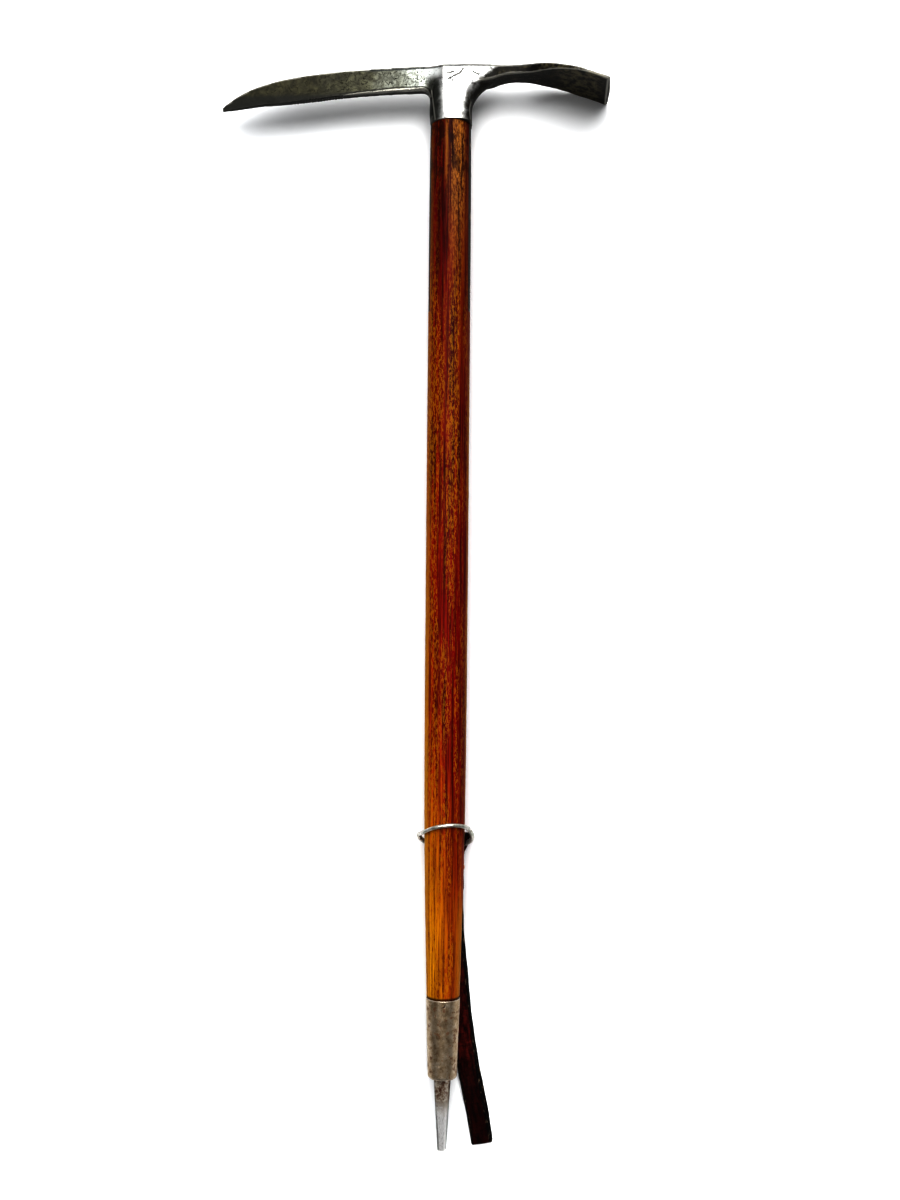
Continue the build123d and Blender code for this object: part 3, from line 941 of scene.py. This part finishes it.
def build_ring():
    """The wire ring, worn thinner in front, with a pitted surface."""
    rings = np.zeros((RING_STEPS, WIRE_AROUND, 3))
    upward = np.array([0, -math.cos(RING_TILT), math.sin(RING_TILT)])
    for i in range(RING_STEPS):
        turn = 2 * math.pi * i / RING_STEPS
        middle = ring_point(turn, RING_RADIUS)
        outward = ring_point(turn, RING_RADIUS + 1) - middle
        outward /= np.linalg.norm(outward)
        radius = WIRE_RADIUS - WIRE_WEAR * smooth_step(0.0, 0.8, -math.cos(turn))
        for j in range(WIRE_AROUND):
            angle = 2 * math.pi * j / WIRE_AROUND
            way = outward * math.cos(angle) + upward * math.sin(angle)
            rings[i, j] = middle + way * (radius * MM)
    piece = skin("ring_wire", rings, RING, closed=True)
    roughen(piece, 0.15, [(0.1, 3.0, 31), (0.05, 1.2, 32)])
    mark_edges(piece)
    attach(piece, "ring")
    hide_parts("wrist_ring")


# ---------------------------------------------------------------- leather
EYE_SLOPE_DEGREES = 24.4
EYE_SLOPE = math.radians(EYE_SLOPE_DEGREES)
EYE_PLACE = 9.8
EYE_RISE = 0.6
EYE_FOLD = 4.5
EYE_GAP = 2.9
EYE_MEETING = 12.0
EYE_NARROWING = 0.2
LAYER = 2.05
LAYER_MIDDLE = 1.12
FOLD_RADIUS = EYE_GAP + 1.15
ring_centre = to_axe(ring_middle)
eye_back = math.sqrt(RING_RADIUS**2 - EYE_PLACE**2)
EYE_X = ring_centre[0] + EYE_PLACE
EYE_Y = ring_centre[1] - eye_back * math.sin(RING_TILT)
EYE_Z = ring_centre[2] - eye_back * math.cos(RING_TILT) + EYE_RISE
FLOOR = to_axe(np.array(cad_box[0]))[2]
STRAP_LEVEL = FLOOR + 2.3
STRAP_END = -0.7
EDGE_ROUND = 0.75
# The leather's reach to the right of its middle line, at distances below the eye
EYE_REACH_AT = [0.0, 6.0, 20.0, 34.0]
EYE_REACH = [7.8, 3.4, 3.6, 6.6]
# The strap's middle line: y, x, z, roll in degrees and width
SPINE = np.array([
    (-3.0, 30.6, STRAP_LEVEL + 0.1, 0.0, 15.8),
    (31.0, 24.7, STRAP_LEVEL + 0.1, 0.0, 15.8),
    (63.0, 18.1, STRAP_LEVEL + 0.1, 0.0, 15.8),
    (100.0, 13.1, STRAP_LEVEL + 0.2, 0.0, 15.7),
    (139.0, 8.7, STRAP_LEVEL + 0.1, 0.0, 15.6),
    (177.0, 5.2, STRAP_LEVEL + 0.1, 1.0, 15.6),
    (196.0, 6.6, STRAP_LEVEL + 2.2, 11.0, 13.2),
    (EYE_Y - 22.5, EYE_X - 0.8, EYE_Z - 0.5, 23.5, 10.4),
    (EYE_Y - 12.0, EYE_X - 0.8, EYE_Z - 0.4, EYE_SLOPE_DEGREES, 10.4),
    (EYE_Y - 7.0, EYE_X - 0.3, EYE_Z - 0.1, EYE_SLOPE_DEGREES, 12.2),
    (EYE_Y, EYE_X, EYE_Z, EYE_SLOPE_DEGREES, 12.6),
    (250.0, EYE_X, EYE_Z, EYE_SLOPE_DEGREES, 12.6),
])


def spine_at(y):
    """x, z, roll and width of the strap's middle line at each y, through the stations smoothly."""
    knots = SPINE[:, 0]
    slopes = np.gradient(SPINE[:, 1:], knots, axis=0)
    i = np.clip(np.searchsorted(knots, y) - 1, 0, len(knots) - 2)
    span = knots[i + 1] - knots[i]
    t = ((y - knots[i]) / span)[:, None]
    span = span[:, None]
    low, high = SPINE[i, 1:], SPINE[i + 1, 1:]
    return (
        low * (2 * t**3 - 3 * t**2 + 1) + high * (3 * t**2 - 2 * t**3)
        + slopes[i] * span * (t**3 - 2 * t**2 + t) + slopes[i + 1] * span * (t**3 - t**2)
    )


def leather_path():
    """The loop of leather as y, height above the middle line and share of the fan, once round."""
    upper = np.linspace(EYE_Y + EYE_FOLD, STRAP_END, 250)
    closing = smooth_step(EYE_FOLD - 2, EYE_MEETING + 1, EYE_Y - upper)
    lift = FOLD_RADIUS + (LAYER_MIDDLE - FOLD_RADIUS) * closing
    rows = [(y, h, 1.0) for y, h in zip(upper, lift)]
    for angle in np.linspace(0, math.pi, 12)[1:-1]:
        rows.append((STRAP_END - 1.5 * math.sin(angle), LAYER_MIDDLE * math.cos(angle), math.cos(angle)))
    rows += [(y, -h, -1.0) for y, h in zip(upper[::-1], lift[::-1])]
    for angle in np.linspace(0, math.pi, 22)[1:-1]:
        away = FOLD_RADIUS * math.sin(angle)
        rows.append((EYE_Y + EYE_FOLD + away, -FOLD_RADIUS * math.cos(angle), -math.cos(angle)))
    return np.array(rows)


def leather_section(low, high):
    """The strap's cross-section from low to high: flat faces, rounded edges, as across and thickness."""
    middle = (low + high) / 2
    half = (high - low) / 2
    flat = np.linspace(half - EDGE_ROUND, EDGE_ROUND - half, 9)
    bend = np.linspace(-math.pi / 2, math.pi / 2, 7)[1:-1]
    right = [(half - EDGE_ROUND + EDGE_ROUND * math.cos(a), LAYER / 2 * math.sin(a)) for a in bend]
    top = [(v, LAYER / 2 - 0.1 * (v / half) ** 4) for v in flat]
    section = np.array(top[::-1] + right + top + right)
    turned = len(flat) + len(right)
    section[: len(flat)] = -np.array(top)
    section[turned + len(flat):] = -np.array(right)
    return section + np.array([middle, 0.0])


def wire_shift(x):
    """How far the ring's wire bends away in y and z from the eye's straight middle line, at each x."""
    turn = np.arcsin(np.clip((x - ring_centre[0]) / RING_RADIUS, -0.97, 0.97))
    back = RING_RADIUS * np.cos(turn)
    wire_y = ring_centre[1] - back * math.sin(RING_TILT)
    wire_z = ring_centre[2] - back * math.cos(RING_TILT) + EYE_RISE
    return wire_y - EYE_Y, wire_z - eye_line(x)


def eye_line(x):
    """The height of the eye's straight middle line at each x."""
    return EYE_Z + (x - EYE_X) * math.tan(EYE_SLOPE)


def strap_frame(y, roll):
    """The leather's sideways and upward directions at each y."""
    rows = np.linspace(-5, 250, 500)
    lean = np.interp(y, rows, np.gradient(spine_at(rows)[:, 0], rows))
    way = np.stack([lean, np.ones_like(y), np.zeros_like(y)], axis=1)
    way /= np.linalg.norm(way, axis=1)[:, None]
    side = np.stack([way[:, 1] * np.cos(roll), -way[:, 0] * np.cos(roll), np.sin(roll)], axis=1)
    up = np.cross(side, way)
    up *= np.sign(up[:, 2])[:, None]
    return side, up


def leather_middle(y, lift, fan, below):
    """The loop's middle line in millimetres, with its side directions, slipped and parted a little."""
    x, z, roll, _ = spine_at(y).T
    side, up = strap_frame(y, np.radians(roll))
    ripple = 0.35 * np.sin(y * 0.11) + 0.2 * np.sin(y * 0.29 + 1.0)
    open_gap = below * smooth_step(2, 30, y) * (0.35 + 0.35 * np.sin(y * 0.05 + 0.6))
    height = lift + np.sign(fan) * open_gap * (fan > 0)
    slide = -fan * (0.55 + 0.3 * np.sin(y * 0.045)) * below + ripple * below * 0.5
    return np.stack([x, y, z], axis=1) + up * height[:, None] + side * slide[:, None], side


def follow_wire(rings, across, beneath):
    """Bends the leather near the eye to the ring's curve, and narrows its right end."""
    near = 1 - smooth_step(4.0, 14.0, beneath)[:, None]
    shift_y, shift_z = wire_shift(rings[..., 0])
    narrow = 1 - EYE_NARROWING * smooth_step(3.0, 8.0, across) * near
    line_z = eye_line(rings[..., 0])
    rings[..., 1] = np.where(near > 0, EYE_Y + (rings[..., 1] - EYE_Y) * narrow, rings[..., 1])
    rings[..., 2] = np.where(near > 0, line_z + (rings[..., 2] - line_z) * narrow, rings[..., 2])
    rings[..., 1] += shift_y * near
    rings[..., 2] += shift_z * near
    rings[..., 2] = np.maximum(rings[..., 2], FLOOR + 0.05)


def build_leather():
    """The doubled strap and the eye round the ring: one loop of leather."""
    y, lift, fan = leather_path().T
    width = spine_at(y)[:, 3]
    below = smooth_step(EYE_Y - 14, EYE_Y - 60, y)
    beneath = EYE_Y - y
    middle, side = leather_middle(y, lift, fan, below)
    ahead = np.roll(middle, -1, axis=0) - np.roll(middle, 1, axis=0)
    ahead /= np.linalg.norm(ahead, axis=1)[:, None]
    thick = np.cross(side, ahead)
    reach = np.interp(beneath, EYE_REACH_AT, EYE_REACH)
    right = np.where(beneath < EYE_REACH_AT[-1], reach, width / 2)
    section = np.array([leather_section(-w / 2, r) for w, r in zip(width, right)])
    rings = middle[:, None] + section[..., :1] * side[:, None] + section[..., 1:] * thick[:, None]
    flat = rings.reshape(-1, 3)
    rough = value_noise(flat, 4.5, 41) * 0.08 + value_noise(flat, 14.0, 42) * 0.15
    rings = rings + (rough.reshape(rings.shape[:2]) * below[:, None])[..., None] * thick[:, None]
    follow_wire(rings, section[..., 0], beneath)
    piece = skin("strap_leather", ORIGIN + rings * MM, LEATHER, closed=True)
    length = np.concatenate([[0], np.cumsum(np.linalg.norm(np.diff(middle, axis=0), axis=1))])
    values = np.stack([section[..., 0], np.broadcast_to(length[:, None], section.shape[:2])], axis=-1)
    add_uv(piece, values.reshape(-1, 2))
    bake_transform(piece)
    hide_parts("ring_eye", "wrist_strap")


build_head()
build_shaft()
build_ferrule()
build_spike()
build_ring()
build_leather()
for node in ("langet_rivet_lower", "langet_rivet_middle", "langet_rivet_upper", "ferrule_pin", "eye_rivet"):
    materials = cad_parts[node].data.materials
    materials.clear()
    materials.append(COPPER if node == "eye_rivet" else IRON)

# ---------------------------------------------------------------- floor, light and camera
FLOOR_HALF = 6.0
HORIZON_LIGHT = 1.5
SKY_LIGHT = 0.18
HORIZON_HEIGHT = 0.04
SKY_HEIGHT = 0.3
CAMERA_HEIGHT = 1022.0
CAMERA_PLACE = (2.65, 430.0)
LENS = 39.25
AXE_ROLL = math.radians(4.2)
PICTURE_TURN = math.radians(0.52)
EXPOSURE = -0.38
GAMMA = 0.53


def build_floor():
    """A wide flat floor."""
    corners = [(x, y, 0) for x, y in ((-1, -1), (1, -1), (1, 1), (-1, 1))]
    places = [tuple(FLOOR_HALF * v for v in corner) for corner in corners]
    floor = make_object("floor", places, [(0, 1, 2, 3)], floor_paint(), smooth=False)


def build_world():
    """A dim, plain sky, paler near the horizon so that the floor runs into it."""
    world = bpy.data.worlds.new("studio")
    bpy.context.scene.world = world
    world.use_nodes = True
    tree = world.node_tree
    coords = tree.nodes.new("ShaderNodeTexCoord")
    split = tree.nodes.new("ShaderNodeSeparateXYZ")
    tree.links.new(coords.outputs["Generated"], split.inputs[0])
    height = tree.nodes.new("ShaderNodeMapRange")
    height.interpolation_type = "SMOOTHSTEP"
    tree.links.new(split.outputs["Z"], height.inputs["Value"])
    height.inputs["From Min"].default_value = HORIZON_HEIGHT
    height.inputs["From Max"].default_value = SKY_HEIGHT
    height.inputs["To Min"].default_value = HORIZON_LIGHT
    height.inputs["To Max"].default_value = SKY_LIGHT
    background = tree.nodes["Background"]
    tree.links.new(height.outputs[0], background.inputs["Strength"])
    background.inputs["Color"].default_value = (0.97, 0.98, 1.0, 1)


def area_light(name, place, target, size, power):
    """A rectangular lamp at a place, facing a target."""
    data = bpy.data.lights.new(name, "AREA")
    data.shape = "RECTANGLE"
    data.size, data.size_y = size
    data.energy = power
    lamp = bpy.data.objects.new(name, data)
    bpy.context.scene.collection.objects.link(lamp)
    lamp.location = place
    lamp.rotation_euler = (Vector(target) - Vector(place)).to_track_quat("-Z", "Y").to_euler()


def sun_light(name, way, strength, softness):
    """A distant lamp that shines one way, with its apparent size in degrees."""
    data = bpy.data.lights.new(name, "SUN")
    data.energy = strength
    data.angle = math.radians(softness)
    lamp = bpy.data.objects.new(name, data)
    bpy.context.scene.collection.objects.link(lamp)
    lamp.rotation_euler = Vector(way).to_track_quat("-Z", "Y").to_euler()


def build_camera():
    """Above the middle of the axe, tilted about the shaft's length as though the axe were rolled a little
    onto its pick's tip.
    """
    data = bpy.data.cameras.new("camera")
    data.sensor_fit = "VERTICAL"
    data.sensor_height = 36.0
    data.lens = LENS
    made = bpy.data.objects.new("camera", data)
    bpy.context.scene.collection.objects.link(made)
    roll = Matrix.Rotation(AXE_ROLL, 4, "Y")
    place = roll @ Vector((CAMERA_PLACE[0], 0, CAMERA_HEIGHT))
    spot = axe(place.x, CAMERA_PLACE[1], place.z)
    made.matrix_world = Matrix.Translation(Vector(spot)) @ roll @ Matrix.Rotation(PICTURE_TURN, 4, "Z")
    bpy.context.scene.camera = made


build_floor()
build_world()
area_light("overhead", (0.14, 0.45, 1.9), (0.0, 0.35, 0.0), (1.0, 3.2), 20)
sun_light("head_side", (-0.075, -0.55, -1.0), 6.3, 48)
build_camera()
view = bpy.context.scene.view_settings
view.view_transform = "Standard"
view.exposure = EXPOSURE
view.gamma = GAMMA
